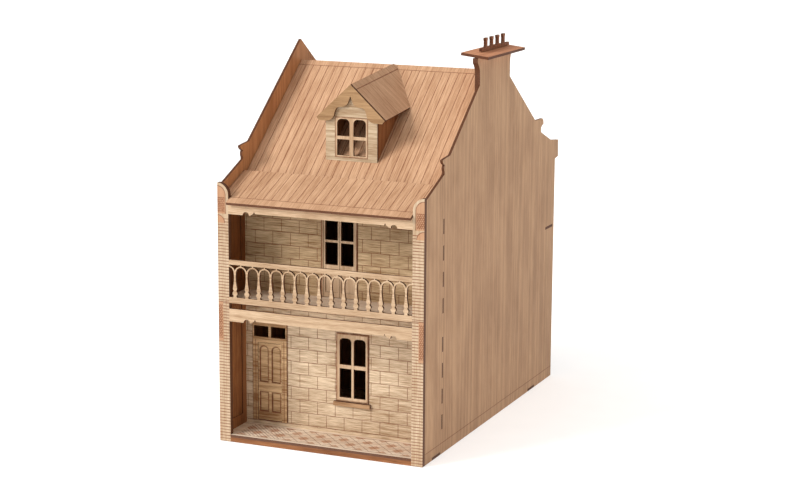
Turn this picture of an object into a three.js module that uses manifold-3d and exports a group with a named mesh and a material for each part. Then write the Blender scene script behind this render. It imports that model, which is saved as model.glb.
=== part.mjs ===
// A two-storey terraced dollhouse at 1:24, cut from 3 mm plywood boards that are tabbed and glued together.
// Millimetres, +Z up. The front faces -Y, z = 0 is the table, and the origin lies in the middle of the base.

import * as THREE from 'three';
import { mergeVertices } from 'three/addons/utils/BufferGeometryUtils.js';
import Module from 'manifold-3d';

const wasm = await Module();
wasm.setup();

// ---- driving dimensions ----
const PLY = 3;                        // every board
const GAP = 0.3;                      // clearance beside sloping, cut and hinged boards
const FIT = 0.15;                     // laser kerf between a tab and its slot
const WIDTH = 240;                    // over the two side walls
const FRONT = -205;                   // front face of the pillars
const REAR = 205.5;                   // rear edge of the side walls
const WALL_IN = WIDTH / 2 - PLY;      // inner face of a side wall
const ROOM_HALF = WALL_IN - FIT;      // half the width of a board fitted between the walls

const PILLAR_WIDTH = 13;
const PILLAR_TOP = 286.5;
const BAY_HALF = WIDTH / 2 - PILLAR_WIDTH;
const PILLAR_BACK = FRONT + 2 * PLY;

const PLINTH_TOP = 5;
const GROUND = PLINTH_TOP + PLY;      // ground floor surface
const STOREY_JOINT = 142.3;           // joint between the two front wall boards
const BALCONY = 160;                  // first floor and balcony surface
const ATTIC = 279;                    // attic floor surface
const HOUSE_FRONT = FRONT + 52;       // outer face of the front wall
const HOUSE_INSIDE = HOUSE_FRONT + PLY;

const TAB = 16;
const TAB_PITCH = 28.5;
const TAB_OFFSETS = [-1.5, -0.5, 0.5, 1.5].map((n) => n * TAB_PITCH);
const LOWER_TABS = TAB_OFFSETS.map((z) => 78.3 + z);
const UPPER_TABS = TAB_OFFSETS.map((z) => 205.9 + z);
const BASE_TABS = [FRONT + 37.5, FRONT + 338.5];
const BASE_TAB_LENGTH = 23;

const RIDGE_Y = FRONT + 200.6;
const RIDGE_Z = 398.6;
const FRONT_PITCH = Math.atan(0.791);
const REAR_PITCH = Math.atan(0.708);
const LEAN_PITCH = Math.atan(0.41);   // verandah roof and rear lower roof
const LEAN_TOP_Y = FRONT + 55.6;
const LEAN_TOP_Z = 291.8;

const GABLE_Y = FRONT + 200;
const GABLE_Z = 422;
const STACK_FRONT = FRONT + 153.8;
const STACK_REAR = FRONT + 247.6;
const STACK_TOP = 416;

const CURVE_STEPS = 8;                // facets along each curve of an outline

const WOOD = {
  wall: 0xa5856a, pillar: 0xd2b491, front: 0xdec8a0, trim: 0xe1cdb2, roof: 0xcaa17d,
  rail: 0xdebea0, floor: 0xcaa27c, inner: 0xc09a72, edge: 0x6e4630, door: 0xcfae84,
};

const house = new THREE.Group();
house.name = 'wooden_dollhouse';

// ---- helpers ----
const AXES = {
  x: new THREE.Matrix4().makeBasis(
    new THREE.Vector3(0, 1, 0), new THREE.Vector3(0, 0, 1), new THREE.Vector3(1, 0, 0)),
  y: new THREE.Matrix4().makeBasis(
    new THREE.Vector3(1, 0, 0), new THREE.Vector3(0, 0, 1), new THREE.Vector3(0, -1, 0)),
  z: new THREE.Matrix4(),
};

function add(name, geometry, colour) {
  const material = new THREE.MeshStandardMaterial({ color: colour, roughness: 0.72, metalness: 0 });
  const mesh = new THREE.Mesh(geometry, material);
  mesh.name = name;
  house.add(mesh);
  return mesh;
}

function polygon(points) {
  return new THREE.Shape(points.map(([u, v]) => new THREE.Vector2(u, v)));
}

function rect(u0, v0, u1, v1) {
  return polygon([[u0, v0], [u1, v0], [u1, v1], [u0, v1]]);
}

// A board cut from `shape`: it stands across `axis` and fills `from` to `from + thickness` along it.
function board(shape, axis, from, thickness = PLY) {
  const outline = new THREE.Shape(shape.getPoints(CURVE_STEPS));
  const blank = extrude(outline, axis, from, thickness);
  if (shape.holes.length === 0) return blank;
  const plugs = shape.holes.map((opening) => {
    const plug = new THREE.Shape(opening.getPoints(CURVE_STEPS));
    return extrude(plug, axis, from - 1, thickness + 2);
  });
  return cut(blank, plugs);
}

function extrude(shape, axis, from, thickness) {
  const geometry = new THREE.ExtrudeGeometry(shape, { depth: thickness, bevelEnabled: false });
  geometry.applyMatrix4(AXES[axis]);
  const start = axis === 'y' ? from + thickness : from;
  geometry.translate(axis === 'x' ? start : 0, axis === 'y' ? start : 0, axis === 'z' ? start : 0);
  return geometry;
}

function box(x0, y0, z0, x1, y1, z1) {
  const geometry = new THREE.BoxGeometry(x1 - x0, y1 - y0, z1 - z0);
  geometry.translate((x0 + x1) / 2, (y0 + y1) / 2, (z0 + z1) / 2);
  return geometry;
}

function solid(geometry) {
  const bare = geometry.clone();
  bare.deleteAttribute('normal');
  bare.deleteAttribute('uv');
  const welded = mergeVertices(bare, 1e-4);
  return new wasm.Manifold(new wasm.Mesh({
    numProp: 3,
    vertProperties: new Float32Array(welded.attributes.position.array),
    triVerts: new Uint32Array(welded.index.array),
  }));
}

// `geometry` with every one of `tools` cut away.
function cut(geometry, tools) {
  const result = tools.reduce((body, tool) => body.subtract(solid(tool)), solid(geometry));
  const mesh = result.getMesh();
  const out = new THREE.BufferGeometry();
  out.setAttribute('position', new THREE.BufferAttribute(new Float32Array(mesh.vertProperties), 3));
  out.setIndex(new THREE.BufferAttribute(new Uint32Array(mesh.triVerts), 1));
  out.computeVertexNormals();
  return out;
}

function hole(shape, opening) {
  shape.holes.push(opening);
  return shape;
}

// An opening with two rounded upper corners.
function roundedHead(u0, v0, u1, v1, radius) {
  const path = new THREE.Path();
  path.moveTo(u0, v0);
  path.lineTo(u1, v0);
  path.lineTo(u1, v1 - radius);
  path.absarc(u1 - radius, v1 - radius, radius, 0, Math.PI / 2, false);
  path.lineTo(u0 + radius, v1);
  path.absarc(u0 + radius, v1 - radius, radius, Math.PI / 2, Math.PI, false);
  path.closePath();
  return path;
}

const mirrored = (name) => [['left', -1], ['right', 1]].map(([side, sign]) => [`${side}_${name}`, sign]);

// ---- side walls ----
const TIE_FRONT = FRONT + 380;
const TIE_REAR = FRONT + 406;
const TIE_BOTTOM = 187.5;

function gableShape(topOutline) {
  const y = (d) => FRONT + d;
  const shape = new THREE.Shape();
  shape.moveTo(y(6), 0);
  shape.lineTo(y(6), 284.3);
  shape.lineTo(y(54), 303.8);
  shape.lineTo(y(54), 306.5);
  shape.quadraticCurveTo(y(51), 310.5, y(54.2), 313.8);
  shape.quadraticCurveTo(y(48.5), 315.5, y(48), 319.5);
  shape.lineTo(y(54), 320.4);
  shape.lineTo(y(70), 321.8);
  topOutline(shape);
  shape.lineTo(y(337), 325);
  shape.lineTo(y(361.8), 324.6);
  shape.quadraticCurveTo(y(367), 322, y(365.8), 317.3);
  shape.quadraticCurveTo(y(361), 316.5, y(358.8), 314.7);
  shape.quadraticCurveTo(y(356), 311.3, y(359.2), 308.1);
  shape.lineTo(y(394.3), 294.7);
  shape.lineTo(y(421), 291.5);
  shape.lineTo(y(421.6), 271.2);
  shape.lineTo(y(410.5), 269.7);
  shape.lineTo(y(410.5), 0);
  const half = BASE_TAB_LENGTH / 2 + FIT;
  for (const middle of [...BASE_TABS].reverse()) {
    shape.lineTo(middle + half, 0);
    shape.lineTo(middle + half, PLY + FIT);
    shape.lineTo(middle - half, PLY + FIT);
    shape.lineTo(middle - half, 0);
  }
  shape.closePath();
  for (const z of [...LOWER_TABS, ...UPPER_TABS]) {
    const slotHalf = TAB / 2 + FIT;
    hole(shape, rect(HOUSE_FRONT - FIT, z - slotHalf, HOUSE_INSIDE + FIT, z + slotHalf));
  }
  hole(shape, rect(TIE_FRONT - FIT, TIE_BOTTOM - FIT, TIE_REAR + FIT, TIE_BOTTOM + PLY + FIT));
  return shape;
}

function pointedTop(shape) {
  shape.lineTo(GABLE_Y, GABLE_Z);
}

function stackSides(shape, base) {
  shape.lineTo(STACK_FRONT, base);
  shape.lineTo(STACK_FRONT, 398);
  shape.quadraticCurveTo(STACK_FRONT - 0.5, 406, STACK_FRONT - 7, 411);
  shape.lineTo(STACK_FRONT - 7, STACK_TOP);
  shape.lineTo(STACK_REAR + 4, STACK_TOP);
  shape.lineTo(STACK_REAR + 4, 413);
  shape.quadraticCurveTo(STACK_REAR + 0.5, 409, STACK_REAR, 403);
  shape.lineTo(STACK_REAR, base);
}

function stackTop(shape) {
  stackSides(shape, 386.5);
}

add('left_wall', board(gableShape(pointedTop), 'x', -WIDTH / 2), WOOD.wall);
add('right_wall', board(gableShape(stackTop), 'x', WALL_IN), WOOD.wall);

// ---- base, floors and the boards across the house ----
function plate(x, y0, y1) {
  return rect(-x, y0, x, y1);
}

function baseShape() {
  const shape = new THREE.Shape();
  const half = BASE_TAB_LENGTH / 2;
  shape.moveTo(-ROOM_HALF, FRONT + PLY);
  shape.lineTo(-BAY_HALF, FRONT + PLY);
  shape.lineTo(BAY_HALF, FRONT + PLY);
  shape.lineTo(BAY_HALF, PILLAR_BACK);
  shape.lineTo(ROOM_HALF, PILLAR_BACK);
  for (const middle of BASE_TABS) {
    shape.lineTo(ROOM_HALF, middle - half);
    shape.lineTo(WIDTH / 2, middle - half);
    shape.lineTo(WIDTH / 2, middle + half);
    shape.lineTo(ROOM_HALF, middle + half);
  }
  shape.lineTo(ROOM_HALF, REAR - PLY);
  shape.lineTo(-ROOM_HALF, REAR - PLY);
  for (const middle of [...BASE_TABS].reverse()) {
    shape.lineTo(-ROOM_HALF, middle + half);
    shape.lineTo(-WIDTH / 2, middle + half);
    shape.lineTo(-WIDTH / 2, middle - half);
    shape.lineTo(-ROOM_HALF, middle - half);
  }
  shape.lineTo(-ROOM_HALF, PILLAR_BACK);
  shape.lineTo(-BAY_HALF, PILLAR_BACK);
  shape.lineTo(-BAY_HALF, FRONT + PLY);
  return shape;
}

// A floor that starts between the pillars at `front` and widens to the side walls behind them.
function notchedPlate(front, rear) {
  return polygon([
    [-BAY_HALF, front], [BAY_HALF, front], [BAY_HALF, PILLAR_BACK], [ROOM_HALF, PILLAR_BACK],
    [ROOM_HALF, rear], [-ROOM_HALF, rear], [-ROOM_HALF, PILLAR_BACK], [-BAY_HALF, PILLAR_BACK],
  ]);
}

function tieShape() {
  return rect(-WIDTH / 2, TIE_FRONT, WIDTH / 2, TIE_REAR);
}

add('base_plate', board(baseShape(), 'z', 0), WOOD.inner);
add('plinth_front', board(rect(-BAY_HALF, 0, BAY_HALF, PLINTH_TOP), 'y', FRONT), WOOD.floor);
add('plinth_rear', board(rect(-ROOM_HALF, 0, ROOM_HALF, PLINTH_TOP), 'y', REAR - PLY), WOOD.floor);
add('ground_floor', board(notchedPlate(FRONT, REAR), 'z', PLINTH_TOP), WOOD.floor);
add('balcony_floor', board(notchedPlate(FRONT + PLY, HOUSE_FRONT), 'z', BALCONY - PLY), WOOD.floor);
add('first_floor', board(plate(ROOM_HALF, HOUSE_INSIDE, REAR - 35), 'z', BALCONY - PLY), WOOD.inner);
add('attic_floor', board(plate(ROOM_HALF, HOUSE_INSIDE, REAR - 70), 'z', ATTIC - PLY), WOOD.inner);
add('rear_tie_board', board(tieShape(), 'z', TIE_BOTTOM), WOOD.inner);

// The walls across the middle carry the floors, with a doorway beside the right wall.
function crossWall(bottom, top) {
  const lintel = bottom + 90;
  return polygon([
    [-ROOM_HALF, bottom], [60, bottom], [60, lintel], [95, lintel], [95, bottom],
    [ROOM_HALF, bottom], [ROOM_HALF, top], [-ROOM_HALF, top],
  ]);
}

const CROSS_Y = FRONT + 225;
add('ground_cross_wall', board(crossWall(GROUND, BALCONY - PLY), 'y', CROSS_Y), WOOD.inner);
add('upper_cross_wall', board(crossWall(BALCONY, ATTIC - PLY), 'y', CROSS_Y), WOOD.inner);

// ---- pillars and verandah sides ----
function pillarShape(sign) {
  const inner = sign * BAY_HALF;
  const outer = (sign * WIDTH) / 2;
  const shape = new THREE.Shape();
  shape.moveTo(inner, 0);
  shape.lineTo(outer, 0);
  shape.lineTo(outer, PILLAR_TOP);
  const start = Math.PI / 2;
  const end = sign > 0 ? Math.PI : 0;
  shape.absarc(outer, PILLAR_TOP - PILLAR_WIDTH, PILLAR_WIDTH, start, end, sign < 0);
  shape.closePath();
  return shape;
}

function sideLiner(bottom, topFront, topRear, y1) {
  const y0 = PILLAR_BACK;
  return polygon([[y0, bottom], [y1, bottom], [y1, topRear], [y0, topFront]]);
}

function panelRecess(sign, bottom, top) {
  const face = sign * (WALL_IN - PLY);
  const depth = 1.2;
  const shape = rect(PILLAR_BACK + 9, bottom + 12, HOUSE_FRONT - 9, top - 12);
  return board(shape, 'x', sign > 0 ? face - 1 : face - depth, depth + 1);
}

for (const [name, sign] of mirrored('pillar')) {
  add(`${name}_face`, board(pillarShape(sign), 'y', FRONT), WOOD.pillar);
  add(`${name}_core`, board(pillarShape(sign), 'y', FRONT + PLY), WOOD.pillar);
}

const leanUnderside = (y) =>
  LEAN_TOP_Z + Math.tan(LEAN_PITCH) * (y - LEAN_TOP_Y) - PLY / Math.cos(LEAN_PITCH) - GAP;

for (const [name, sign] of mirrored('verandah_side')) {
  const from = sign > 0 ? WALL_IN - PLY : -WALL_IN;
  const shape = sideLiner(GROUND, BALCONY - PLY, BALCONY - PLY, HOUSE_FRONT);
  add(`${name}_lower`, cut(board(shape, 'x', from), [panelRecess(sign, GROUND, BALCONY - PLY)]), WOOD.trim);
  const rising = sideLiner(BALCONY, leanUnderside(PILLAR_BACK), leanUnderside(HOUSE_FRONT), HOUSE_FRONT);
  add(`${name}_upper`, cut(board(rising, 'x', from), [panelRecess(sign, BALCONY, 268)]), WOOD.trim);
}

// ---- front wall, two boards with tabs through the side walls ----
function frontWallShape(bottom, top, tabs) {
  const shape = new THREE.Shape();
  shape.moveTo(-ROOM_HALF, bottom);
  shape.lineTo(ROOM_HALF, bottom);
  for (const z of tabs) {
    shape.lineTo(ROOM_HALF, z - TAB / 2);
    shape.lineTo(WIDTH / 2, z - TAB / 2);
    shape.lineTo(WIDTH / 2, z + TAB / 2);
    shape.lineTo(ROOM_HALF, z + TAB / 2);
  }
  shape.lineTo(ROOM_HALF, top);
  shape.lineTo(-ROOM_HALF, top);
  for (const z of [...tabs].reverse()) {
    shape.lineTo(-ROOM_HALF, z + TAB / 2);
    shape.lineTo(-WIDTH / 2, z + TAB / 2);
    shape.lineTo(-WIDTH / 2, z - TAB / 2);
    shape.lineTo(-ROOM_HALF, z - TAB / 2);
  }
  shape.closePath();
  return shape;
}

const DOOR_SET = { x0: -105.1, x1: -63.6, z0: 12.7, z1: 124 };
const WINDOW = { x0: -3.1, x1: 34.4, z0: 46, z1: 121.5 };
const FRENCH = { half: 20.85, z0: BALCONY, z1: 254.5 };
const PROUD = 1;                      // frames stand this far out of the wall

const lowerWall = frontWallShape(GROUND, STOREY_JOINT, LOWER_TABS);
hole(lowerWall, rect(DOOR_SET.x0 - FIT, DOOR_SET.z0 - FIT, DOOR_SET.x1 + FIT, DOOR_SET.z1 + FIT));
hole(lowerWall, rect(WINDOW.x0 - FIT, WINDOW.z0 - FIT, WINDOW.x1 + FIT, WINDOW.z1 + FIT));
add('ground_front_wall', board(lowerWall, 'y', HOUSE_FRONT), WOOD.front);

const upperWall = frontWallShape(STOREY_JOINT, leanUnderside(HOUSE_FRONT), UPPER_TABS);
hole(upperWall, rect(-FRENCH.half - FIT, FRENCH.z0, FRENCH.half + FIT, FRENCH.z1 + FIT));
add('upper_front_wall', board(upperWall, 'y', HOUSE_FRONT), WOOD.front);

// ---- front door ----
const LEAF = { x0: -98.7, x1: -70.1, z0: 13.4, z1: 101 };
const TRANSOM_Z = 104.6;

function doorArchitrave() {
  const { x0, x1, z0 } = DOOR_SET;
  return polygon([
    [x0, z0], [LEAF.x0 - GAP, z0], [LEAF.x0 - GAP, LEAF.z1 + GAP], [LEAF.x1 + GAP, LEAF.z1 + GAP],
    [LEAF.x1 + GAP, z0], [x1, z0], [x1, TRANSOM_Z], [x0, TRANSOM_Z],
  ]);
}

function transomFrame() {
  const { x0, x1, z1 } = DOOR_SET;
  const shape = rect(x0, TRANSOM_Z, x1, z1);
  const middle = (x0 + x1) / 2;
  const z0 = 107.8;
  hole(shape, rect(x0 + 1.4, z0, middle - 1.5, 120.2));
  return hole(shape, rect(middle + 1.5, z0, x1 - 1.4, 120.2));
}

function doorLeaf() {
  const front = HOUSE_FRONT - PROUD / 2;
  const leaf = board(rect(LEAF.x0, LEAF.z0, LEAF.x1, LEAF.z1), 'y', front);
  const panelWidth = 10;
  const columns = [LEAF.x0 + 2, LEAF.x1 - 1.7 - panelWidth];
  const tallPanel = (x) => roundedHead(x, 56.8, x + panelWidth, 97.5, panelWidth / 2 - 0.1);
  const pockets = columns.flatMap((x) => [
    board(rect(x, 23.3, x + panelWidth, 45), 'y', front - 1, 1.9),
    board(new THREE.Shape(tallPanel(x).getPoints(CURVE_STEPS)), 'y', front - 1, 1.9),
  ]);
  return cut(leaf, pockets);
}

add('door_architrave', board(doorArchitrave(), 'y', HOUSE_FRONT - PROUD), WOOD.trim);
add('door_transom', board(transomFrame(), 'y', HOUSE_FRONT - PROUD), WOOD.trim);
add('front_door', doorLeaf(), WOOD.door);

// ---- ground floor window ----
function windowFrame(frame, columns, rows, radius) {
  const shape = rect(frame.x0, frame.z0, frame.x1, frame.z1);
  for (const [x0, x1] of columns) {
    hole(shape, rect(x0, rows[0][0], x1, rows[0][1]));
    hole(shape, roundedHead(x0, rows[1][0], x1, rows[1][1], radius));
  }
  return shape;
}

const windowShape = windowFrame(WINDOW, [[0.5, 14.6], [17.3, 31.5]], [[50, 82.6], [86.8, 116.5]], 4.5);
add('ground_window_frame', board(windowShape, 'y', HOUSE_FRONT - PROUD), WOOD.trim);
const SILL_REACH = 3.2;
add('ground_window_sill', box(-6.2, HOUSE_FRONT - SILL_REACH, 40.4, 37.3, HOUSE_FRONT, 45.1), WOOD.edge);

// ---- french doors onto the balcony ----
const FRENCH_LEAF = { x0: 0.2, x1: 18.4, z0: 160.6, z1: 251.8 };

function frenchArchitrave() {
  const inner = FRENCH_LEAF.x1 + GAP;
  const top = FRENCH_LEAF.z1 + GAP;
  const { half, z0, z1 } = FRENCH;
  return polygon([
    [-half, z0], [-inner, z0], [-inner, top], [inner, top], [inner, z0], [half, z0], [half, z1], [-half, z1],
  ]);
}

function frenchLeaf(sign) {
  const { x0, x1, z0, z1 } = FRENCH_LEAF;
  const [a, b] = [sign * x0, sign * x1].sort((p, q) => p - q);
  const [p0, p1] = [sign * 1.8, sign * 16.8].sort((p, q) => p - q);
  const shape = rect(a, z0, b, z1);
  hole(shape, rect(p0, 196.3, p1, 221));
  hole(shape, roundedHead(p0, 223.6, p1, 249, 4));
  const front = HOUSE_FRONT - PROUD / 2;
  return cut(board(shape, 'y', front), [board(rect(p0, 166, p1, 191), 'y', front - 1, 1.9)]);
}

add('french_door_architrave', board(frenchArchitrave(), 'y', HOUSE_FRONT - PROUD), WOOD.trim);
for (const [name, sign] of mirrored('french_door')) {
  add(name, frenchLeaf(sign), WOOD.door);
}

// ---- balustrade and valances between the pillars ----
const RAIL_Z0 = 155.7;
const RAIL_Z1 = 162.2;
const HANDRAIL_Z0 = 198;
const HANDRAIL_Z1 = 203.3;
const BALUSTERS = 15;
const PITCH = (2 * BAY_HALF) / BALUSTERS;
const SPRING_Z = 189.5;
const ARCH_BAND = 1.5;
const ARCH_OUT = PITCH / 2 + 0.17;
const ARCH_IN = ARCH_OUT - ARCH_BAND;
// Turned outline of one baluster: half width and height, from the bottom rail up to the arch springing.
const BALUSTER = [
  [2.2, RAIL_Z1], [1.6, 163.6], [1.9, 164.6], [2.9, 165.6], [2.9, 167.4], [1.4, 169.4],
  [2.4, 171], [2.4, 172.6], [1.8, 175.2], [1.1, 181], [0.9, 185], [PITCH / 2 - ARCH_IN, SPRING_Z],
];

function bayHole(middle) {
  const path = new THREE.Path();
  path.moveTo(middle + PITCH / 2 - BALUSTER[0][0], BALUSTER[0][1]);
  BALUSTER.slice(1).forEach(([half, z]) => path.lineTo(middle + PITCH / 2 - half, z));
  path.absarc(middle, SPRING_Z, ARCH_IN, 0, Math.PI, false);
  [...BALUSTER].reverse().forEach(([half, z]) => path.lineTo(middle - PITCH / 2 + half, z));
  path.closePath();
  return path;
}

function spandrelHole(axis) {
  const link = 0.6;
  const rise = Math.asin((Math.sqrt(ARCH_OUT ** 2 - link ** 2)) / ARCH_OUT);
  const meet = Math.acos(PITCH / 2 / ARCH_OUT);
  const path = new THREE.Path();
  path.moveTo(axis - PITCH / 2 + link, HANDRAIL_Z0);
  path.lineTo(axis - PITCH / 2 + link, SPRING_Z + Math.sqrt(ARCH_OUT ** 2 - link ** 2));
  path.absarc(axis - PITCH / 2, SPRING_Z, ARCH_OUT, rise, meet, true);
  path.absarc(axis + PITCH / 2, SPRING_Z, ARCH_OUT, Math.PI - meet, Math.PI - rise, true);
  path.lineTo(axis + PITCH / 2 - link, HANDRAIL_Z0);
  path.closePath();
  return path;
}

function balustradeShape() {
  const shape = new THREE.Shape();
  const last = BAY_HALF - PITCH / 2;
  shape.moveTo(-BAY_HALF, RAIL_Z0);
  shape.lineTo(BAY_HALF, RAIL_Z0);
  shape.lineTo(BAY_HALF, RAIL_Z1);
  BALUSTER.forEach(([half, z]) => shape.lineTo(last + half, z));
  shape.absarc(BAY_HALF, SPRING_Z, ARCH_IN, Math.PI, Math.PI / 2, true);
  shape.lineTo(BAY_HALF, HANDRAIL_Z1);
  shape.lineTo(-BAY_HALF, HANDRAIL_Z1);
  shape.absarc(-BAY_HALF, SPRING_Z, ARCH_IN, Math.PI / 2, 0, true);
  [...BALUSTER].reverse().forEach(([half, z]) => shape.lineTo(-last - half, z));
  shape.lineTo(-BAY_HALF, RAIL_Z1);
  shape.closePath();
  for (let i = 0; i < BALUSTERS; i += 1) {
    const axis = (i - (BALUSTERS - 1) / 2) * PITCH;
    hole(shape, spandrelHole(axis));
    if (i) hole(shape, bayHole(axis - PITCH / 2));
  }
  return shape;
}

// A board with a half-round bite, a lobe and a pointed nick near each end of its lower edge.
function valanceShape(top, drop) {
  const low = top - drop;
  const mid = low + 2.3;
  const half = (sign) => {
    const side = new THREE.Path();
    side.moveTo(sign * BAY_HALF, low);
    side.lineTo(sign * (86 + 3.7), low);
    side.absarc(sign * 86, low, 3.7, sign > 0 ? 0 : Math.PI, sign > 0 ? Math.PI : 0, sign < 0);
    side.quadraticCurveTo(sign * 81.5, low - 0.6, sign * 77.2, mid);
    side.lineTo(sign * 76, mid + 2.3);
    side.lineTo(sign * 74.8, mid);
    return side.getPoints(CURVE_STEPS);
  };
  const shape = new THREE.Shape([
    ...half(-1), ...half(1).reverse(), new THREE.Vector2(BAY_HALF, top), new THREE.Vector2(-BAY_HALF, top),
  ]);
  return shape;
}

add('balustrade', board(balustradeShape(), 'y', FRONT), WOOD.rail);
add('lower_valance', board(valanceShape(149.3, 14), 'y', FRONT), WOOD.trim);
add('upper_valance', board(valanceShape(leanUnderside(FRONT), 12.3), 'y', FRONT), WOOD.trim);

// ---- roofs ----
// A board across the house in side section: its top face runs between two points, square-cut at its low end
// and plumb-cut at its high end.
function roofSection(lowY, lowZ, highY, highZ) {
  const pitch = Math.atan2(highZ - lowZ, Math.abs(highY - lowY));
  const toward = Math.sign(highY - lowY);
  return polygon([
    [lowY, lowZ], [highY, highZ], [highY, highZ - PLY / Math.cos(pitch)],
    [lowY + toward * PLY * Math.sin(pitch), lowZ - PLY * Math.cos(pitch)],
  ]);
}

const frontRoofZ = (y) => RIDGE_Z + Math.tan(FRONT_PITCH) * (y - RIDGE_Y);
const rearRoofZ = (y) => RIDGE_Z - Math.tan(REAR_PITCH) * (y - RIDGE_Y);
const ROOF_HALF = WALL_IN - GAP;
const frontRoofLow = HOUSE_INSIDE + GAP;
const rearRoofLow = FRONT + 352;
const frontSection = roofSection(frontRoofLow, frontRoofZ(frontRoofLow), RIDGE_Y - GAP / 2,
  frontRoofZ(RIDGE_Y - GAP / 2));
const rearSection = roofSection(rearRoofLow, rearRoofZ(rearRoofLow), RIDGE_Y + GAP / 2,
  rearRoofZ(RIDGE_Y + GAP / 2));

// The stack liner doubles the right wall where the chimney stands above the roof.
const linerHalf = WALL_IN - PLY - GAP;
function besideStack(section) {
  const roof = board(section, 'x', -ROOF_HALF, 2 * ROOF_HALF);
  return cut(roof, [box(linerHalf, STACK_FRONT - GAP - 8, 330, WIDTH, STACK_REAR + GAP + 8, 440)]);
}

add('main_roof_front', besideStack(frontSection), WOOD.roof);
add('main_roof_rear', besideStack(rearSection), WOOD.roof);

const EAVE_REACH = 6;                 // the verandah roof runs this far out past the pillars
const LEAN_LENGTH = (LEAN_TOP_Y - FRONT + EAVE_REACH) / Math.cos(LEAN_PITCH);
const leanSlope = new THREE.Matrix4().makeBasis(
  new THREE.Vector3(1, 0, 0),
  new THREE.Vector3(0, Math.cos(LEAN_PITCH), Math.sin(LEAN_PITCH)),
  new THREE.Vector3(0, -Math.sin(LEAN_PITCH), Math.cos(LEAN_PITCH)),
);

function verandahRoof() {
  const pillarDepth = PILLAR_BACK - FRONT;
  const notch = (EAVE_REACH + pillarDepth + PLY * Math.sin(LEAN_PITCH) + GAP) / Math.cos(LEAN_PITCH);
  const eave = BAY_HALF - GAP;
  const shape = polygon([
    [-eave, 0], [eave, 0], [eave, notch], [ROOF_HALF, notch],
    [ROOF_HALF, LEAN_LENGTH], [-ROOF_HALF, LEAN_LENGTH], [-ROOF_HALF, notch], [-eave, notch],
  ]);
  const roof = new THREE.ExtrudeGeometry(shape, { depth: PLY, bevelEnabled: false });
  roof.translate(0, -LEAN_LENGTH, -PLY);
  roof.applyMatrix4(leanSlope);
  roof.translate(0, LEAN_TOP_Y, LEAN_TOP_Z);
  return roof;
}

add('verandah_roof', verandahRoof(), WOOD.roof);
// The rear lower roof laps over the foot of the main rear slope.
const rearLap = FRONT + 350;
const rearLeanEnd = FRONT + 409.5;
const rearLeanTop = rearRoofZ(rearLap) + PLY / Math.cos(LEAN_PITCH) + GAP;
const rearLeanFall = 0.38 * (rearLeanEnd - rearLap);
const rearLean = roofSection(rearLeanEnd, rearLeanTop - rearLeanFall, rearLap, rearLeanTop);
add('rear_lower_roof', board(rearLean, 'x', -ROOF_HALF, 2 * ROOF_HALF), WOOD.roof);

// ---- dormer ----
const DORMER_FRONT = FRONT + 82.5;
const DORMER_HALF = 30.5;
const DORMER_PITCH = Math.tan(THREE.MathUtils.degToRad(42.5));
const DORMER_RISE = 0.0932;           // its ridge and eaves climb toward the main ridge
const DORMER_EDGE = FRONT + 79;       // where the dormer ridge is DORMER_RIDGE high
const DORMER_RIDGE = 389;
const DORMER_EAVE = 40.4;
const DORMER_WINDOW = { x0: -19.4, x1: 19.4, z0: 309, z1: 353 };
const VERTICAL_PLY = PLY * Math.hypot(1, DORMER_PITCH);
const dormerUnderside = (x, y) =>
  DORMER_RIDGE + DORMER_RISE * (y - DORMER_EDGE) - DORMER_PITCH * Math.abs(x) - VERTICAL_PLY - GAP;

// Everything below the front slope of the main roof, with a small clearance above it.
function belowMainRoof() {
  const block = polygon([
    [FRONT + 40, frontRoofZ(FRONT + 40) + GAP], [RIDGE_Y, frontRoofZ(RIDGE_Y) + GAP],
    [RIDGE_Y, 200], [FRONT + 40, 200],
  ]);
  return board(block, 'x', -80, 160);
}

function dormerPanel() {
  const y = DORMER_FRONT;
  const shape = polygon([
    [-DORMER_HALF, 300], [DORMER_HALF, 300], [DORMER_HALF, dormerUnderside(DORMER_HALF, y)],
    [0, dormerUnderside(0, y)], [-DORMER_HALF, dormerUnderside(DORMER_HALF, y)],
  ]);
  const { x0, z0, x1, z1 } = DORMER_WINDOW;
  hole(shape, rect(x0 - FIT, z0 - FIT, x1 + FIT, z1 + FIT));
  return cut(board(shape, 'y', y), [belowMainRoof()]);
}

const dormerPanes = [[-17, -2.3], [2.3, 17]];
const dormerSash = windowFrame(DORMER_WINDOW, dormerPanes, [[311.3, 328.8], [332.4, 351]], 5);

function bargeboardShape() {
  const side = new THREE.Path();
  side.moveTo(DORMER_EAVE, DORMER_RIDGE - DORMER_PITCH * DORMER_EAVE);
  side.lineTo(DORMER_EAVE - 3, 348.4);
  side.lineTo(28.6, 348.6);
  side.quadraticCurveTo(22, 349, 19.4, 354.5);
  side.quadraticCurveTo(18.4, 363.5, 13, 364.2);
  side.quadraticCurveTo(3.5, 364.8, 2, 371);
  side.lineTo(0, 376.4);
  const right = side.getPoints(6);
  const left = right.map((p) => new THREE.Vector2(-p.x, p.y));
  return new THREE.Shape([new THREE.Vector2(0, DORMER_RIDGE), ...left, ...right.slice(0, -1).reverse()]);
}

function dormerCheek(sign) {
  const y0 = DORMER_FRONT + PLY;
  const top = (y) => dormerUnderside(DORMER_HALF, y);
  const roof = (y) => frontRoofZ(y) + GAP;
  const tip = y0 + (top(y0) - roof(y0)) / (Math.tan(FRONT_PITCH) - DORMER_RISE) - 0.5;
  const shape = polygon([[y0, roof(y0)], [tip, roof(tip)], [tip, top(tip)], [y0, top(y0)]]);
  return board(shape, 'x', sign > 0 ? DORMER_HALF - PLY : -DORMER_HALF);
}

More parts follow.
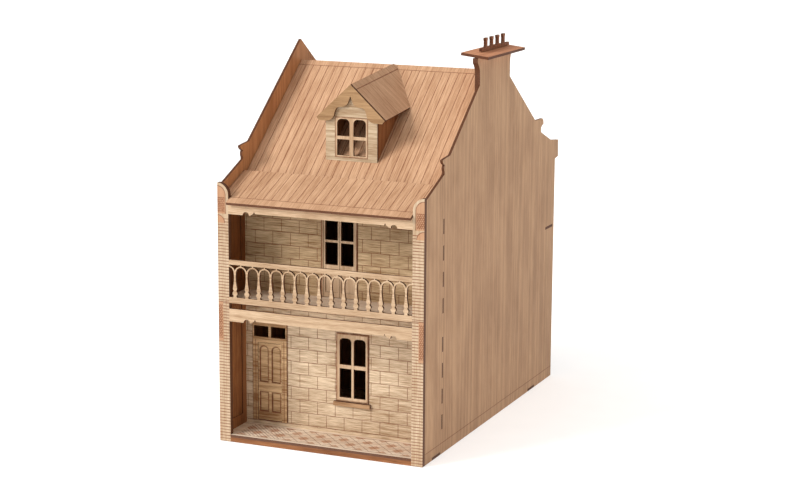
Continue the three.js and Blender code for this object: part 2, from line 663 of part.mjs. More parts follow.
function dormerSlope(sign) {
  const lift = (x) => DORMER_RIDGE - DORMER_PITCH * x;
  const mitre = GAP / 2;
  const cos = 1 / Math.hypot(1, DORMER_PITCH);
  const sin = DORMER_PITCH * cos;
  const section = [
    [mitre, lift(mitre)], [mitre, lift(mitre) - VERTICAL_PLY],
    [DORMER_EAVE - PLY * sin, lift(DORMER_EAVE) - PLY * cos], [DORMER_EAVE, lift(DORMER_EAVE)],
  ].map(([x, z]) => [sign * x, z]);
  const start = DORMER_FRONT + 0.1;
  const slope = board(polygon(section), 'y', start, FRONT + 197 - start);
  slope.applyMatrix4(new THREE.Matrix4().makeShear(0, 0, 0, DORMER_RISE, 0, 0));
  slope.translate(0, 0, -DORMER_RISE * DORMER_EDGE);
  return cut(slope, [belowMainRoof()]);
}

add('dormer_front', dormerPanel(), WOOD.front);
add('dormer_window_frame', board(dormerSash, 'y', DORMER_FRONT - 0.05), WOOD.trim);
add('dormer_bargeboard', board(bargeboardShape(), 'y', DORMER_FRONT - PLY - 0.1), WOOD.trim);
for (const [side, sign] of [['left', -1], ['right', 1]]) {
  add(`dormer_cheek_${side}`, dormerCheek(sign), WOOD.front);
  add(`dormer_roof_${side}`, dormerSlope(sign), WOOD.roof);
}

// ---- chimney ----
function stackLiner() {
  const shape = new THREE.Shape();
  shape.moveTo(STACK_FRONT, 345);
  stackSides(shape, 386.5);
  shape.lineTo(STACK_REAR, 345);
  shape.closePath();
  return shape;
}

add('chimney_stack_liner', board(stackLiner(), 'x', WALL_IN - PLY), WOOD.wall);

const CAP = { x: 116, halfWidth: 16, y0: FRONT + 147, y1: FRONT + 263, lean: THREE.MathUtils.degToRad(6.5) };
const CAP_CLEAR = 0.85;               // the leaning cap clears the inner edge of the stack
function chimneyCap() {
  const length = CAP.y1 - CAP.y0;
  const cap = new THREE.BoxGeometry(2 * CAP.halfWidth, length, PLY);
  cap.rotateY(CAP.lean);
  cap.translate(CAP.x, (CAP.y0 + CAP.y1) / 2, STACK_TOP + CAP_CLEAR + PLY / 2);
  return cap;
}

const POTS = { x: 113.5, y0: FRONT + 171, y1: FRONT + 257, first: FRONT + 186.3, pitch: 18.1, count: 4 };
const POT_STRIP_Z = STACK_TOP + CAP_CLEAR + PLY + GAP + 0.9;
function potsShape() {
  const base = POT_STRIP_Z + 3.2;
  const top = 434.8;
  const shape = new THREE.Shape();
  shape.moveTo(POTS.y0, POT_STRIP_Z);
  shape.lineTo(POTS.y1, POT_STRIP_Z);
  shape.lineTo(POTS.y1, base);
  for (let i = POTS.count - 1; i >= 0; i -= 1) {
    const y = POTS.first + i * POTS.pitch;
    const outline = [[3, base], [2.3, base + 2], [2.3, top - 3.6], [3.2, top - 2.4], [3.2, top]];
    outline.forEach(([half, z]) => shape.lineTo(y + half, z));
    outline.reverse().forEach(([half, z]) => shape.lineTo(y - half, z));
  }
  shape.lineTo(POTS.y0, base);
  shape.closePath();
  return shape;
}

add('chimney_cap', chimneyCap(), WOOD.roof);
add('chimney_pots', board(potsShape(), 'x', POTS.x - PLY / 2), WOOD.edge);

export default house;
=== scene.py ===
"""Looks of the laser-cut plywood dollhouse: grained veneer, burnt cut edges and engraved masonry."""

import math

import bpy
from mathutils import Matrix, Vector


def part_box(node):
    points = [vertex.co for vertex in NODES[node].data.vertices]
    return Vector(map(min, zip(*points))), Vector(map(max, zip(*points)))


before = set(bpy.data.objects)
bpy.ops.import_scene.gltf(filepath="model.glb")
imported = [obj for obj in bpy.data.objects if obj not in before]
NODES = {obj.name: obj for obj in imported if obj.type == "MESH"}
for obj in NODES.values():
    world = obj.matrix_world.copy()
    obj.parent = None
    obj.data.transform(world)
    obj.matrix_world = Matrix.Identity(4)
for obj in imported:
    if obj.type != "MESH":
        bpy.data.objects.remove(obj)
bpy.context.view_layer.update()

X = Vector((1, 0, 0))
Y = Vector((0, 1, 0))
Z = Vector((0, 0, 1))


def box(*names):
    """The lowest and highest corners of the space that some nodes fill together, in millimetres."""
    boxes = [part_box(name) for name in names]
    low = [1000 * min(corners[0][axis] for corners in boxes) for axis in range(3)]
    high = [1000 * max(corners[1][axis] for corners in boxes) for axis in range(3)]
    return low, high


def outline(*names):
    """The rectangle that some nodes fill together, seen from the front, as x0, x1, z0, z1."""
    low, high = box(*names)
    return low[0], high[0], low[2], high[2]


# ---- driving values, in millimetres unless they say otherwise ----
PILLAR_LOW, PILLAR_HIGH = box("right_pillar_face")
FRONT = PILLAR_LOW[1]
HALF_WIDTH = PILLAR_HIGH[0]

# roofs, with their slopes in radians
RIDGE_Y = FRONT + 200.6
VERANDAH_TOP_Y = FRONT + 55.6
VERANDAH_EAVE_Y = FRONT - 6.0
REAR_LEAN_TOP_Y = FRONT + 350.0
REAR_EAVE_Y = FRONT + 409.5
FRONT_PITCH = math.atan(0.791)
REAR_PITCH = math.atan(0.708)
LEAN_PITCH = math.atan(0.41)
REAR_LEAN_PITCH = math.atan(0.38)
DORMER_PITCH = math.radians(42.5)
DORMER_RISE = math.atan(0.0932)
CAP_LEAN = math.radians(6.5)
ROOF_BOARD = 9.36
VERANDAH_BOARD = 9.67
RIDGE_BAND = 8.0
EAVE_BAND = 11.5
DORMER_RIDGE_BAND = 6.0

# masonry, with the widths of its engraved lines
STONE_COURSE = 14.35
STONE_BLOCK = 21.4
STONE_START_X = 5.5
STONE_START_Z = 141.4 - 9 * STONE_COURSE
STONE_JOINT = 0.65
BRICK_COURSE = 3.3
BRICK_JOINT = 0.9
BRICKS_TOP = 250.0

# other engraved lines
ENGRAVE_DEPTH = 0.22
TINT_DEPTH = 0.12
FIBRE_DEPTH = 0.03
BOARD_JOINT = 0.75
BORDER = 0.8
FINE_LINE = 0.7
TILE_LINE = 0.9
PANEL_GROOVE = 1.5
WALL_BASE = 12.0
DOOR_LINE_REACH = 17.4

# scorched lines round openings and frames: how far outside the edge, and how wide
WALL_RIM = (0.5, 1.3)
FRAME_RIM = (-0.4, 1.0)

# openings in the front
DOOR_SET = outline("door_architrave", "door_transom")
WINDOW = outline("ground_window_frame")
FRENCH_DOORS = outline("french_door_architrave")
DORMER_WINDOW = outline("dormer_window_frame")

# reliefs on a pillar: patches are two heights and the reach in from the house's side
ARCH_FOOT = 273.5
ARCH_REACH = 9.6
CORBEL_FOOT = 243.0
CORBEL_REACH = 8.6
SHAFT = (253.0, ARCH_FOOT + 0.1, ARCH_REACH)
STRIP = (113.0, 156.5, 5.6)
WOVEN_PATCHES = ((254.5, 271.0, 8.4), (116.0, 153.5, 4.8))
WEAVE_LENGTH = 2.2
WEAVE_HEIGHT = 2.0

# the verandah's tiles, from the front edge back
TILES_START = 5.0
TILES_END = 47.0
TILES_HALF_WIDTH = 103.0
TILE_PITCH = 14.0
TILE_SHIFT = 5.0
DOOR_TILES_EDGE = -52.0
HERRINGBONE_WIDTH = 5.0
HERRINGBONE_LENGTH = 20.0
HERRINGBONE_LINE = 1.2

# the front door's panels: foot and top, the tall ones up to where their round heads start
PANEL_MIDDLES = (-91.7, -76.8)
PANEL_HALF_WIDTH = 5.0
TALL_PANEL = (56.8, 92.5)
LOW_PANEL = (23.3, 45.0)


def srgb(r, g, b):
    """A colour given in 0-255 display values, as linear RGBA."""
    shares = [value / 255 for value in (r, g, b)]
    linear = [share / 12.92 if share < 10 / 255 else ((share + 0.055) / 1.055) ** 2.4 for share in shares]
    return (*linear, 1.0)


BURN = srgb(74, 38, 19)
SCORCH = srgb(104, 60, 32)
LINE = srgb(124, 70, 40)
RELIEF = srgb(180, 122, 84)
TINT_COVER = 0.62
EDGE_COVER = 0.96

# light wood, dark grain, how much the grain wanders, and how strongly rings, fibres and clouds show
PALETTES = {
    "wall": (srgb(198, 158, 122), srgb(142, 104, 74), 0.0008, 0.26, 0.26, 0.26),
    "shaded_wall": (srgb(210, 152, 105), srgb(150, 97, 57), 0.0008, 0.26, 0.26, 0.26),
    # The boards inside the house: plywood darkened below the wall wood; the darkening is painted shade for
    # the dark rooms behind the windows.
    "inner_with_painted_shade": (srgb(172, 130, 94), srgb(122, 84, 56), 0.002, 0.35, 0.35, 0.3),
    "liner": (srgb(166, 110, 66), srgb(112, 68, 36), 0.002, 0.3, 0.46, 0.34),
    # The upper liners are the liner wood darkened: painted shade, deeper up under the roof.
    "upper_liner_painted_shade": (srgb(138, 82, 38), srgb(90, 50, 20), 0.002, 0.3, 0.46, 0.34),
    # The next two, for the dormer's bargeboard and front, are darkened: partly their own tone, partly
    # painted shade where less light falls.
    "olive": (srgb(182, 146, 106), srgb(134, 100, 66), 0.004, 0.3, 0.5, 0.3),
    "dormer": (srgb(218, 198, 168), srgb(156, 126, 94), 0.004, 0.3, 0.56, 0.34),
    "pillar": (srgb(210, 188, 160), srgb(168, 136, 104), 0.002, 0.2, 0.5, 0.3),
    "stone": (srgb(240, 218, 188), srgb(152, 120, 86), 0.004, 0.14, 0.7, 0.24),
    # The upper wall's stone is the stone palette darkened and warmed: painted shade and warm bounce light
    # under the eave.
    "upper_stone_painted_shade": (srgb(226, 198, 158), srgb(140, 106, 68), 0.004, 0.14, 0.7, 0.24),
    "door": (srgb(232, 196, 150), srgb(146, 104, 66), 0.004, 0.3, 0.56, 0.34),
    "trim": (srgb(216, 188, 156), srgb(152, 118, 86), 0.003, 0.26, 0.52, 0.26),
    "frame": (srgb(222, 194, 162), srgb(170, 136, 102), 0.002, 0.24, 0.46, 0.34),
    "roof": (srgb(222, 180, 144), srgb(158, 110, 76), 0.0015, 0.14, 0.5, 0.2),
    "tiled": (srgb(250, 236, 216), srgb(206, 178, 152), 0.004, 0.24, 0.46, 0.34),
    "sill": (srgb(198, 160, 122), srgb(138, 100, 66), 0.004, 0.24, 0.5, 0.34),
    "plinth": (srgb(168, 114, 72), srgb(114, 68, 36), 0.003, 0.3, 0.5, 0.36),
    "cap": (srgb(222, 158, 118), srgb(166, 106, 74), 0.002, 0.3, 0.42, 0.36),
    # A darker brown plywood for the chimney pots.
    "dark_pot": (srgb(178, 114, 76), srgb(118, 70, 42), 0.004, 0.24, 0.46, 0.34),
}


class Graph:
    """Short calls for building a shader out of math nodes. Numbers go straight onto the sockets."""

    def __init__(self, name):
        self.material = bpy.data.materials.new(name)
        self.material.use_nodes = True
        self.tree = self.material.node_tree
        self.shader = self.tree.nodes["Principled BSDF"]

    def node(self, kind, inputs=(), **settings):
        made = self.tree.nodes.new(kind)
        for key, value in settings.items():
            setattr(made, key, value)
        for key, value in inputs:
            self.feed(made.inputs[key], value)
        return made

    def feed(self, socket, value):
        if isinstance(value, bpy.types.NodeSocket):
            self.tree.links.new(value, socket)
        else:
            socket.default_value = value

    def math(self, operation, a, b=0.0, c=0.0):
        return self.node("ShaderNodeMath", ((0, a), (1, b), (2, c)), operation=operation).outputs[0]

    def add(self, a, b):
        return self.math("ADD", a, b)

    def minus(self, a, b):
        return self.math("SUBTRACT", a, b)

    def times(self, a, b):
        return self.math("MULTIPLY", a, b)

    def size(self, value):
        return self.math("ABSOLUTE", value)

    def distance(self, a, b):
        return self.size(self.minus(a, b))

    def radius(self, a, b):
        return self.math("SQRT", self.add(self.times(a, a), self.times(b, b)))

    def dot(self, a, b):
        return self.node("ShaderNodeVectorMath", ((0, a), (1, b)), operation="DOT_PRODUCT").outputs["Value"]

    def vector(self, x, y, z):
        return self.node("ShaderNodeCombineXYZ", ((0, x), (1, y), (2, z))).outputs[0]

    def noise(self, vector, detail=2.0, roughness=0.5):
        inputs = (("Vector", vector), ("Scale", 1.0), ("Detail", detail), ("Roughness", roughness))
        return self.node("ShaderNodeTexNoise", inputs).outputs["Fac"]

    def ramp(self, value, low, high, to_low=0.0, to_high=1.0):
        inputs = (
            ("Value", value), ("From Min", low), ("From Max", high), ("To Min", to_low), ("To Max", to_high),
        )
        return self.node("ShaderNodeMapRange", inputs, interpolation_type="SMOOTHSTEP").outputs[0]

    def mix(self, factor, a, b):
        made = self.node("ShaderNodeMix", data_type="RGBA")
        colours = [s for s in made.inputs if s.type == "RGBA"]
        self.feed(made.inputs[0], factor)
        self.feed(colours[0], a)
        self.feed(colours[1], b)
        return next(s for s in made.outputs if s.type == "RGBA")

    def either(self, *masks):
        result = masks[0]
        for mask in masks[1:]:
            result = self.math("MAXIMUM", result, mask)
        return result

    def both(self, *masks):
        result = masks[0]
        for mask in masks[1:]:
            result = self.times(result, mask)
        return result

    def outside(self, mask):
        return self.minus(1.0, mask)

    def above(self, value, limit):
        return self.math("GREATER_THAN", value, limit)

    def below(self, value, limit):
        return self.math("LESS_THAN", value, limit)

    def within(self, value, low, high):
        return self.both(self.above(value, low), self.below(value, high))

    def line(self, distance, width):
        """1 on a line and 0 away from it, given the distance to its middle."""
        return self.ramp(self.size(distance), width * 0.35, width * 0.75, 1.0, 0.0)

    def lines(self, value, pitch, phase, width):
        """Parallel lines, one at `phase` and one every `pitch` from it."""
        return self.line(self.math("PINGPONG", self.minus(value, phase), pitch / 2), width)

    def courses(self, u, v, block, course, u0, v0, width):
        """Running-bond masonry joints: u runs along the courses and v across them."""
        row = self.math("FLOOR", self.math("DIVIDE", self.minus(v, v0), course))
        shift = self.times(self.math("MODULO", self.add(row, 100.0), 2.0), block / 2)
        uprights = self.lines(self.minus(u, shift), block, u0, width)
        return self.either(self.lines(v, course, v0, width), uprights)


class Place:
    """Where a shaded point is: its coordinates in millimetres, and its normal, both in the house's frame."""

    def __init__(self, graph):
        self.graph = graph
        source = graph.node("ShaderNodeTexCoord")
        self.normal = source.outputs["Normal"]
        self.point = graph.node(
            "ShaderNodeVectorMath", (("Scale", 1000.0), (0, source.outputs["Object"])), operation="SCALE"
        ).outputs[0]
        split = graph.node("ShaderNodeSeparateXYZ", ((0, self.point),)).outputs
        self.x, self.y, self.z = split[0], split[1], split[2]
        facing = graph.node("ShaderNodeSeparateXYZ", ((0, self.normal),)).outputs
        self.ny, self.nz = facing[1], facing[2]

    def scaled(self, frequency):
        """The point times `frequency`, for noise that is alike in every direction."""
        return self.graph.vector(*(self.graph.times(value, frequency) for value in (self.x, self.y, self.z)))

    def on_front(self):
        return self.graph.below(self.ny, -0.5)

    def on_slope(self):
        return self.graph.above(self.nz, 0.3)

    def on_top(self):
        return self.graph.above(self.nz, 0.5)


# ---- engravings: each returns (line mask, tint mask or None) ----
def plain(graph, place):
    return None, None


def rim(graph, place, opening, outward, width):
    """A line round a rectangle (x0, x1, z0, z1), `outward` millimetres outside it."""
    x0, x1, z0, z1 = opening
    aside = graph.minus(graph.distance(place.x, (x0 + x1) / 2), (x1 - x0) / 2)
    rise = graph.minus(graph.distance(place.z, (z0 + z1) / 2), (z1 - z0) / 2)
    return graph.line(graph.minus(graph.math("MAXIMUM", aside, rise), outward), width)


def stonework(*openings):
    """Stone blocks, with the wood scorched brown round each opening."""
    def engraving(graph, place):
        joints = graph.courses(
            place.x, place.z, STONE_BLOCK, STONE_COURSE, STONE_START_X, STONE_START_Z, STONE_JOINT)
        joints = graph.both(joints, graph.above(place.z, STONE_START_Z - 1))
        rims = [rim(graph, place, opening, *WALL_RIM) for opening in openings]
        return graph.both(graph.either(joints, *rims), place.on_front()), None
    return engraving


def outlined(opening):
    """A frame scorched along its outer edge."""
    def engraving(graph, place):
        return graph.both(rim(graph, place, opening, *FRAME_RIM), place.on_front()), None
    return engraving


def half_round(graph, inward, z, foot, reach):
    """Masks of a half disc standing on `foot`, and of the line round it."""
    risen = graph.above(z, foot)
    radius = graph.radius(inward, graph.minus(z, foot))
    disc = graph.both(risen, graph.below(radius, reach))
    edge = graph.both(graph.line(graph.minus(radius, reach), BORDER), risen)
    return disc, edge


def patch(graph, inward, z, size):
    """Mask of a rectangle on a pillar, given as two heights and its reach in from the house's side."""
    low, high, reach = size
    return graph.both(graph.within(z, low, high), graph.below(inward, reach))


def brick_pillar(graph, place):
    """Bricks below an arched panel with a woven field, a half-round corbel, and a woven strip lower down."""
    inward = graph.minus(HALF_WIDTH, graph.size(place.x))
    arch, arch_rim = half_round(graph, inward, place.z, ARCH_FOOT, ARCH_REACH)
    corbel, corbel_rim = half_round(graph, inward, place.z, CORBEL_FOOT, CORBEL_REACH)
    shaft_side = graph.line(graph.minus(inward, ARCH_REACH), BORDER)
    shaft_rim = graph.both(shaft_side, graph.within(place.z, SHAFT[0], SHAFT[1]))
    strip_top = graph.line(graph.minus(place.z, STRIP[1]), BORDER)
    woven_area = graph.either(*(patch(graph, inward, place.z, size) for size in WOVEN_PATCHES))
    weave = graph.courses(inward, place.z, WEAVE_LENGTH, WEAVE_HEIGHT, 0.0, 0.0, BORDER)
    relief = graph.either(
        arch, patch(graph, inward, place.z, SHAFT), corbel, patch(graph, inward, place.z, STRIP))
    smooth = graph.either(relief, graph.above(place.z, BRICKS_TOP))
    joints = graph.both(graph.lines(place.z, BRICK_COURSE, 0.0, BRICK_JOINT), graph.outside(smooth))
    rims = graph.either(arch_rim, shaft_rim, corbel_rim, strip_top)
    lines = graph.either(joints, rims, graph.both(woven_area, weave))
    return graph.both(lines, place.on_front()), graph.both(relief, place.on_front())


def slope_boards(high_y, pitch, spacing, phase, border, boards_below_border):
    """Boards running down a roof, on one side of a border line `border` millimetres down the slope."""
    def engraving(graph, place):
        run = graph.math("DIVIDE", graph.distance(place.y, high_y), math.cos(pitch))
        field = graph.above(run, border) if boards_below_border else graph.below(run, border)
        boards = graph.both(graph.lines(place.x, spacing, phase, BOARD_JOINT), field)
        border_line = graph.line(graph.minus(run, border), BORDER)
        return graph.both(graph.either(boards, border_line), place.on_slope()), None
    return engraving


def main_roof_boards(pitch):
    """Boards below a plain band along the ridge."""
    return slope_boards(RIDGE_Y, pitch, ROOF_BOARD, ROOF_BOARD / 2, RIDGE_BAND, True)


def lean_to_boards(top_y, eave_y, pitch):
    """Boards above a plain band along the eave."""
    border = abs(eave_y - top_y) / math.cos(pitch) - EAVE_BAND
    return slope_boards(top_y, pitch, VERANDAH_BOARD, 0.0, border, False)


def dormer_ridge_line(graph, place):
    offset = graph.minus(graph.size(place.x), DORMER_RIDGE_BAND)
    return graph.both(graph.line(offset, BORDER), place.on_slope()), None


def wall_base_line(graph, place):
    return graph.line(graph.minus(place.z, WALL_BASE), FINE_LINE), None


def verandah_tiles(graph, place):
    """A diamond lattice with one tile in four tinted, and a herringbone in front of the door."""
    depth = graph.minus(place.y, FRONT)
    across = graph.within(place.x, -TILES_HALF_WIDTH, TILES_HALF_WIDTH)
    inside = graph.both(graph.within(depth, TILES_START, TILES_END), across)
    rising = graph.add(place.x, depth)
    falling = graph.minus(place.x, depth)
    lattice = graph.either(
        graph.lines(rising, TILE_PITCH, TILE_SHIFT, TILE_LINE),
        graph.lines(falling, TILE_PITCH, -TILE_SHIFT, TILE_LINE))
    herringbone = graph.either(
        graph.lines(rising, HERRINGBONE_WIDTH, 0.0, TILE_LINE),
        graph.lines(falling, HERRINGBONE_LENGTH, 0.0, HERRINGBONE_LINE))
    by_door = graph.below(place.x, DOOR_TILES_EDGE)
    pattern = graph.either(graph.both(herringbone, by_door), graph.both(lattice, graph.outside(by_door)))
    near_border = graph.line(graph.minus(depth, TILES_START), BORDER)
    far_border = graph.line(graph.minus(depth, TILES_END), BORDER)
    shifted = (graph.minus(rising, TILE_SHIFT), graph.add(falling, TILE_SHIFT))
    checks = [graph.above(graph.math("PINGPONG", value, TILE_PITCH), TILE_PITCH / 2) for value in shifted]
    lines = graph.either(graph.both(pattern, inside), near_border, far_border)
    return graph.both(lines, place.on_top()), graph.both(*checks, inside, place.on_top())


def door_frame_lines(graph, place):
    """A line up each side of the door frame."""
    reach = graph.distance(place.x, (DOOR_SET[0] + DOOR_SET[1]) / 2)
    return graph.both(graph.line(graph.minus(reach, DOOR_LINE_REACH), FINE_LINE), place.on_front()), None


def door_panels(graph, place):
    """A groove round each door panel, with a round head on the two upper ones."""
    foot, spring = TALL_PANEL
    low, high = LOW_PANEL
    grooves = []
    for middle in PANEL_MIDDLES:
        aside = graph.distance(place.x, middle)
        rise = graph.math("MAXIMUM", graph.minus(place.z, spring), 0.0)
        past_tall = graph.minus(graph.radius(aside, rise), PANEL_HALF_WIDTH)
        outside_tall = graph.math("MAXIMUM", past_tall, graph.minus(foot, place.z))
        past_low = graph.minus(graph.distance(place.z, (low + high) / 2), (high - low) / 2)
        outside_low = graph.math("MAXIMUM", graph.minus(aside, PANEL_HALF_WIDTH), past_low)
        grooves += [graph.line(outside_tall, PANEL_GROOVE), graph.line(outside_low, PANEL_GROOVE)]
    return graph.both(graph.either(*grooves), place.on_front()), None


# ---- the plywood material ----
def veneer(graph, place, grain, face, seed, figure):
    """Grain factor from 0 (light) to 1 (dark), and a fine fibre height, for veneer running along `grain`.

    The factors on u and v are frequencies, per millimetre along and across the grain."""
    wander, ring_share, fibre_share, cloud_share = figure
    across = face.cross(grain)
    u = graph.add(graph.dot(place.point, grain), seed * 37.0)
    v = graph.add(graph.dot(place.point, across), seed * 23.0)
    w = graph.dot(place.point, face)
    drift = graph.noise(graph.vector(graph.times(v, 0.03), graph.times(u, wander), seed * 1.7), 1.5)
    rings_at = graph.add(graph.times(v, 0.6), graph.times(drift, 40.0))
    rings = graph.math("MULTIPLY_ADD", graph.math("SINE", rings_at), 0.5, 0.5)
    fibre = graph.noise(graph.vector(graph.times(v, 1.3), graph.times(u, 0.05), w), 5.0, 0.65)
    pores_at = graph.vector(graph.times(v, 3.2), graph.times(u, 0.16), graph.add(w, seed))
    pores = graph.ramp(graph.noise(pores_at, 2.0, 0.6), 0.62, 0.74)
    cloud = graph.noise(graph.vector(graph.times(v, 0.035), graph.times(u, 0.012), seed), 2.0)
    streaks = graph.ramp(fibre, 0.34, 0.68)
    vein_at = graph.vector(graph.times(v, 0.55), graph.times(u, wander * 2), seed * 2.3)
    veins = graph.ramp(graph.noise(vein_at, 1.0), 0.64, 0.72)
    tone = graph.add(graph.times(rings, ring_share), graph.times(streaks, fibre_share))
    tone = graph.add(tone, graph.times(graph.ramp(cloud, 0.35, 0.68), cloud_share))
    tone = graph.add(tone, graph.times(veins, 0.3))
    return graph.math("MINIMUM", graph.add(tone, graph.times(pores, 0.2)), 1.0), fibre


def cut_edge(graph, place, face, seed):
    """Mask of the laser-cut edges, which lie square to the board's faces, and their uneven scorching."""
    turned = graph.size(graph.dot(place.normal, face))
    mask = graph.ramp(turned, 0.6, 0.9, 1.0, 0.0)
    plies = graph.math("SINE", graph.times(graph.dot(place.point, face), 2.0 * math.pi))
    scorch = graph.add(graph.times(graph.noise(place.scaled(0.9)), 0.8), graph.times(plies, 0.08))
    return mask, graph.ramp(graph.add(scorch, seed * 0.001), 0.2, 0.75)


def engraved(graph, place, engraving, colour, height):
    """A surface's colour and height with an engraving on it: tinted areas, then burnt lines over them."""
    lines, tint = engraving(graph, place)
    if tint is not None:
        colour = graph.mix(graph.times(tint, TINT_COVER), colour, RELIEF)
        height = graph.minus(height, graph.times(tint, TINT_DEPTH))
    if lines is not None:
        char = graph.ramp(graph.noise(place.scaled(0.25), 3.0), 0.25, 0.7, 0.5, 0.86)
        colour = graph.mix(graph.times(lines, char), colour, LINE)
        height = graph.minus(height, graph.times(lines, ENGRAVE_DEPTH))
    return colour, height


def plywood(name, palette, grain, face, engraving, seed):
    graph = Graph(name)
    place = Place(graph)
    light, dark, *figure = PALETTES[palette]
    tone, fibre = veneer(graph, place, grain, face, seed, figure)
    height = graph.times(fibre, FIBRE_DEPTH)
    colour, height = engraved(graph, place, engraving, graph.mix(tone, light, dark), height)
    edges, scorch = cut_edge(graph, place, face, seed)
    colour = graph.mix(graph.times(edges, EDGE_COVER), colour, graph.mix(scorch, BURN, SCORCH))
    bump = graph.node("ShaderNodeBump", (("Strength", 1.0), ("Distance", 0.001), ("Height", height)))
    graph.feed(graph.shader.inputs["Base Color"], colour)
    graph.feed(graph.shader.inputs["Normal"], bump.outputs[0])
    graph.feed(graph.shader.inputs["Roughness"], graph.ramp(fibre, 0.3, 0.7, 0.58, 0.74))
    graph.feed(graph.shader.inputs["Specular IOR Level"], 0.28)
    return graph.material


# ---- which veneer each board is cut from ----
def slope(pitch):
    """Unit vectors up a slope that climbs toward +Y, and out of its face."""
    return Vector((0, math.cos(pitch), math.sin(pitch))), Vector((0, -math.sin(pitch), math.cos(pitch)))


UP_FRONT, OUT_FRONT = slope(FRONT_PITCH)
UP_REAR, OUT_REAR = slope(-REAR_PITCH)
UP_LEAN, OUT_LEAN = slope(LEAN_PITCH)
UP_REAR_LEAN, OUT_REAR_LEAN = slope(-REAR_LEAN_PITCH)
CAP_FACE = Vector((math.sin(CAP_LEAN), 0, math.cos(CAP_LEAN)))


def dormer_axes(sign):
    """Unit vectors down one slope of the dormer's roof, and out of its face; `sign` is the side in x."""
    along = Vector((0, math.cos(DORMER_RISE), math.sin(DORMER_RISE)))
    down = Vector((sign * math.cos(DORMER_PITCH), 0, -math.sin(DORMER_PITCH)))
    return down, (down.cross(along) * sign).normalized()


FRONT_BOARDS = main_roof_boards(FRONT_PITCH)
REAR_BOARDS = main_roof_boards(REAR_PITCH)
LEAN_BOARDS = lean_to_boards(VERANDAH_TOP_Y, VERANDAH_EAVE_Y, LEAN_PITCH)
REAR_LEAN_BOARDS = lean_to_boards(REAR_LEAN_TOP_Y, REAR_EAVE_Y, REAR_LEAN_PITCH)

# node: (palette, grain direction, face normal, engraving)
BOARDS = {
    "left_wall": ("shaded_wall", Z, X, wall_base_line),
    "right_wall": ("wall", Z, X, wall_base_line),
    # Inside boards: darkened plywood, painted shade for the rooms.
    "base_plate": ("inner_with_painted_shade", Y, Z, plain),
    "plinth_front": ("plinth", X, Y, plain),
    "plinth_rear": ("plinth", X, Y, plain),
    "ground_floor": ("tiled", X, Z, verandah_tiles),
    "balcony_floor": ("tiled", X, Z, plain),
    "first_floor": ("inner_with_painted_shade", X, Z, plain),
    "attic_floor": ("inner_with_painted_shade", X, Z, plain),
    "rear_tie_board": ("inner_with_painted_shade", X, Z, plain),
    "ground_cross_wall": ("inner_with_painted_shade", Z, Y, plain),
    "upper_cross_wall": ("inner_with_painted_shade", Z, Y, plain),
    "left_pillar_face": ("pillar", Z, Y, brick_pillar),
    "right_pillar_face": ("pillar", Z, Y, brick_pillar),
    "left_pillar_core": ("pillar", Z, Y, plain),
    "right_pillar_core": ("pillar", Z, Y, plain),
    "left_verandah_side_lower": ("liner", Z, X, plain),
    "right_verandah_side_lower": ("liner", Z, X, plain),
    # The upper liners take the darkened liner copy: painted shade under the roof.
    "left_verandah_side_upper": ("upper_liner_painted_shade", Z, X, plain),
    "right_verandah_side_upper": ("upper_liner_painted_shade", Z, X, plain),
    "ground_front_wall": ("stone", X, Y, stonework(DOOR_SET, WINDOW)),
    # The upper wall takes the darkened stone copy: painted shade under the eave.
    "upper_front_wall": ("upper_stone_painted_shade", X, Y, stonework(FRENCH_DOORS)),
    "door_architrave": ("door", X, Y, door_frame_lines),
    "door_transom": ("door", X, Y, plain),
    "front_door": ("door", X, Y, door_panels),
    "ground_window_frame": ("frame", Z, Y, outlined(WINDOW)),
    "ground_window_sill": ("sill", X, Y, plain),
    "french_door_architrave": ("frame", Z, Y, outlined(FRENCH_DOORS)),
    "left_french_door": ("frame", Z, Y, plain),
    "right_french_door": ("frame", Z, Y, plain),
    "balustrade": ("trim", X, Y, plain),
    "lower_valance": ("trim", X, Y, plain),
    "upper_valance": ("trim", X, Y, plain),
    "main_roof_front": ("roof", UP_FRONT, OUT_FRONT, FRONT_BOARDS),
    "main_roof_rear": ("roof", UP_REAR, OUT_REAR, REAR_BOARDS),
    "verandah_roof": ("roof", UP_LEAN, OUT_LEAN, LEAN_BOARDS),
    "rear_lower_roof": ("roof", UP_REAR_LEAN, OUT_REAR_LEAN, REAR_LEAN_BOARDS),
    # The dormer's front and bargeboard use darkened palettes: partly their own tone, partly painted shade.
    "dormer_front": ("dormer", X, Y, plain),
    "dormer_window_frame": ("frame", Z, Y, outlined(DORMER_WINDOW)),
    "dormer_bargeboard": ("olive", X, Y, plain),
    # The cheeks take the dark reddish plinth wood: the reddish is their own tone, the darkness partly
    # painted shade.
    "dormer_cheek_left": ("plinth", Z, X, plain),
    "dormer_cheek_right": ("plinth", Z, X, plain),
    "dormer_roof_left": ("roof", *dormer_axes(-1), dormer_ridge_line),
    "dormer_roof_right": ("roof", *dormer_axes(1), dormer_ridge_line),
    "chimney_stack_liner": ("wall", Z, X, plain),
    "chimney_cap": ("cap", Y, CAP_FACE, plain),
    "chimney_pots": ("dark_pot", Z, X, plain),
}


def dress(node, seed):
    """Gives a board its own plywood."""
    palette, grain, face, engraving = BOARDS[node.name]
    node.data.materials.clear()
    node.data.materials.append(plywood(f"{node.name}_plywood", palette, grain, face, engraving, seed))
    node.data.shade_flat()


for number, name in enumerate(sorted(NODES), start=1):
    dress(NODES[name], float(number))


# ---- floor, light and camera ----
CAMERA_PLACE = (0.9041, -2.1041, 0.6534)
CAMERA_AZIMUTH = 23.13
CAMERA_ELEVATION = 11.56
CAMERA_ROLL = 0.34
FOCAL_LENGTH = 91.8


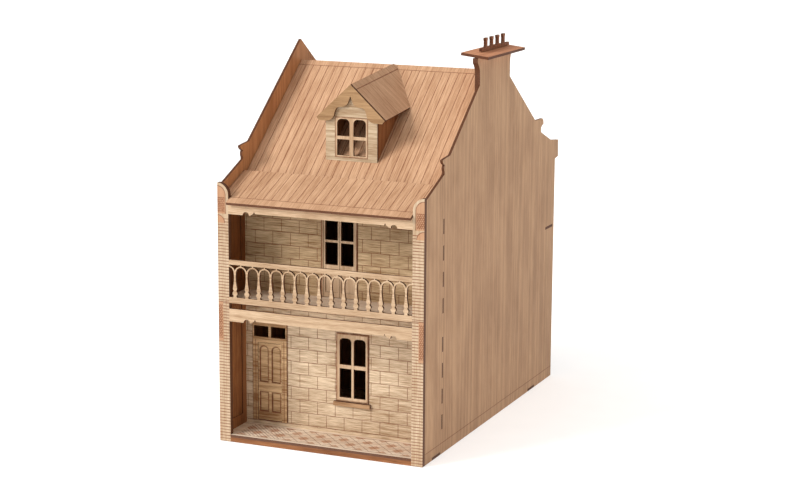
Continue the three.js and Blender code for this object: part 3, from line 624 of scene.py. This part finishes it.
def toward(azimuth, elevation):
    """The direction from the house to something, in degrees from its front toward +X, and upward."""
    a, e = math.radians(azimuth), math.radians(elevation)
    return Vector((math.sin(a) * math.cos(e), -math.cos(a) * math.cos(e), math.sin(e)))


def studio_floor():
    bpy.ops.mesh.primitive_plane_add(size=14.0, location=(0, 0, -0.0004))
    floor = bpy.context.object
    floor.name = "studio_floor"
    graph = Graph("studio_floor_paint")
    place = Place(graph)
    grain = graph.noise(graph.vector(graph.times(place.x, 0.02), graph.times(place.y, 0.02), 0.0))
    graph.feed(graph.shader.inputs["Base Color"], graph.mix(grain, srgb(250, 250, 250), srgb(246, 246, 246)))
    graph.shader.inputs["Roughness"].default_value = 0.9
    floor.data.materials.append(graph.material)
    return floor


def soft_light(name, azimuth, elevation, spread, strength, colour):
    """A broad, even light from far away; `spread` is its apparent size in degrees."""
    light = bpy.data.objects.new(name, bpy.data.lights.new(name, "SUN"))
    light.data.angle = math.radians(spread)
    light.data.energy = strength
    light.data.color = colour
    light.rotation_euler = toward(azimuth, elevation).to_track_quat("Z", "Y").to_euler()
    bpy.context.scene.collection.objects.link(light)
    return light


def only_for(light, floor):
    """The light falls on the floor alone and nothing shades it."""
    group = bpy.data.collections.new(f"{light.name}_floor")
    group.objects.link(floor)
    light.light_linking.receiver_collection = group
    light.light_linking.blocker_collection = group


def camera():
    roll = math.radians(CAMERA_ROLL)
    back = toward(CAMERA_AZIMUTH, CAMERA_ELEVATION)
    level = (-back).cross(Z).normalized()
    upright = level.cross(-back)
    right = level * math.cos(roll) + upright * math.sin(roll)
    up = upright * math.cos(roll) - level * math.sin(roll)
    lens = bpy.data.cameras.new("camera")
    lens.lens = FOCAL_LENGTH
    lens.sensor_width = 36.0
    lens.clip_start = 0.05
    viewer = bpy.data.objects.new("camera", lens)
    turned = Matrix((right, up, back)).transposed().to_4x4()
    viewer.matrix_world = Matrix.Translation(CAMERA_PLACE) @ turned
    bpy.context.scene.collection.objects.link(viewer)
    bpy.context.scene.camera = viewer


def studio(floor):
    scene = bpy.context.scene
    world = bpy.data.worlds.new("studio")
    world.use_nodes = True
    tree = world.node_tree
    background = tree.nodes["Background"]
    background.inputs["Color"].default_value = (1.0, 0.965, 0.92, 1.0)
    background.inputs["Strength"].default_value = 0.5
    backdrop = tree.nodes.new("ShaderNodeBackground")
    backdrop.inputs["Color"].default_value = (1.0, 1.0, 1.0, 1.0)
    backdrop.inputs["Strength"].default_value = 1.0
    seen = tree.nodes.new("ShaderNodeLightPath")
    choice = tree.nodes.new("ShaderNodeMixShader")
    tree.links.new(seen.outputs["Is Camera Ray"], choice.inputs[0])
    tree.links.new(background.outputs[0], choice.inputs[1])
    tree.links.new(backdrop.outputs[0], choice.inputs[2])
    tree.links.new(choice.outputs[0], tree.nodes["World Output"].inputs["Surface"])
    scene.world = world
    scene.view_settings.view_transform = "Standard"
    soft_light("key_light", -42, 30, 24.0, 2.3, (1.0, 0.98, 0.955))
    soft_light("top_light", -10, 75, 50.0, 0.5, (1.0, 1.0, 1.0))
    only_for(soft_light("floor_light", 0, 80, 20.0, 1.7, (1.0, 1.0, 1.0)), floor)


studio(studio_floor())
camera()
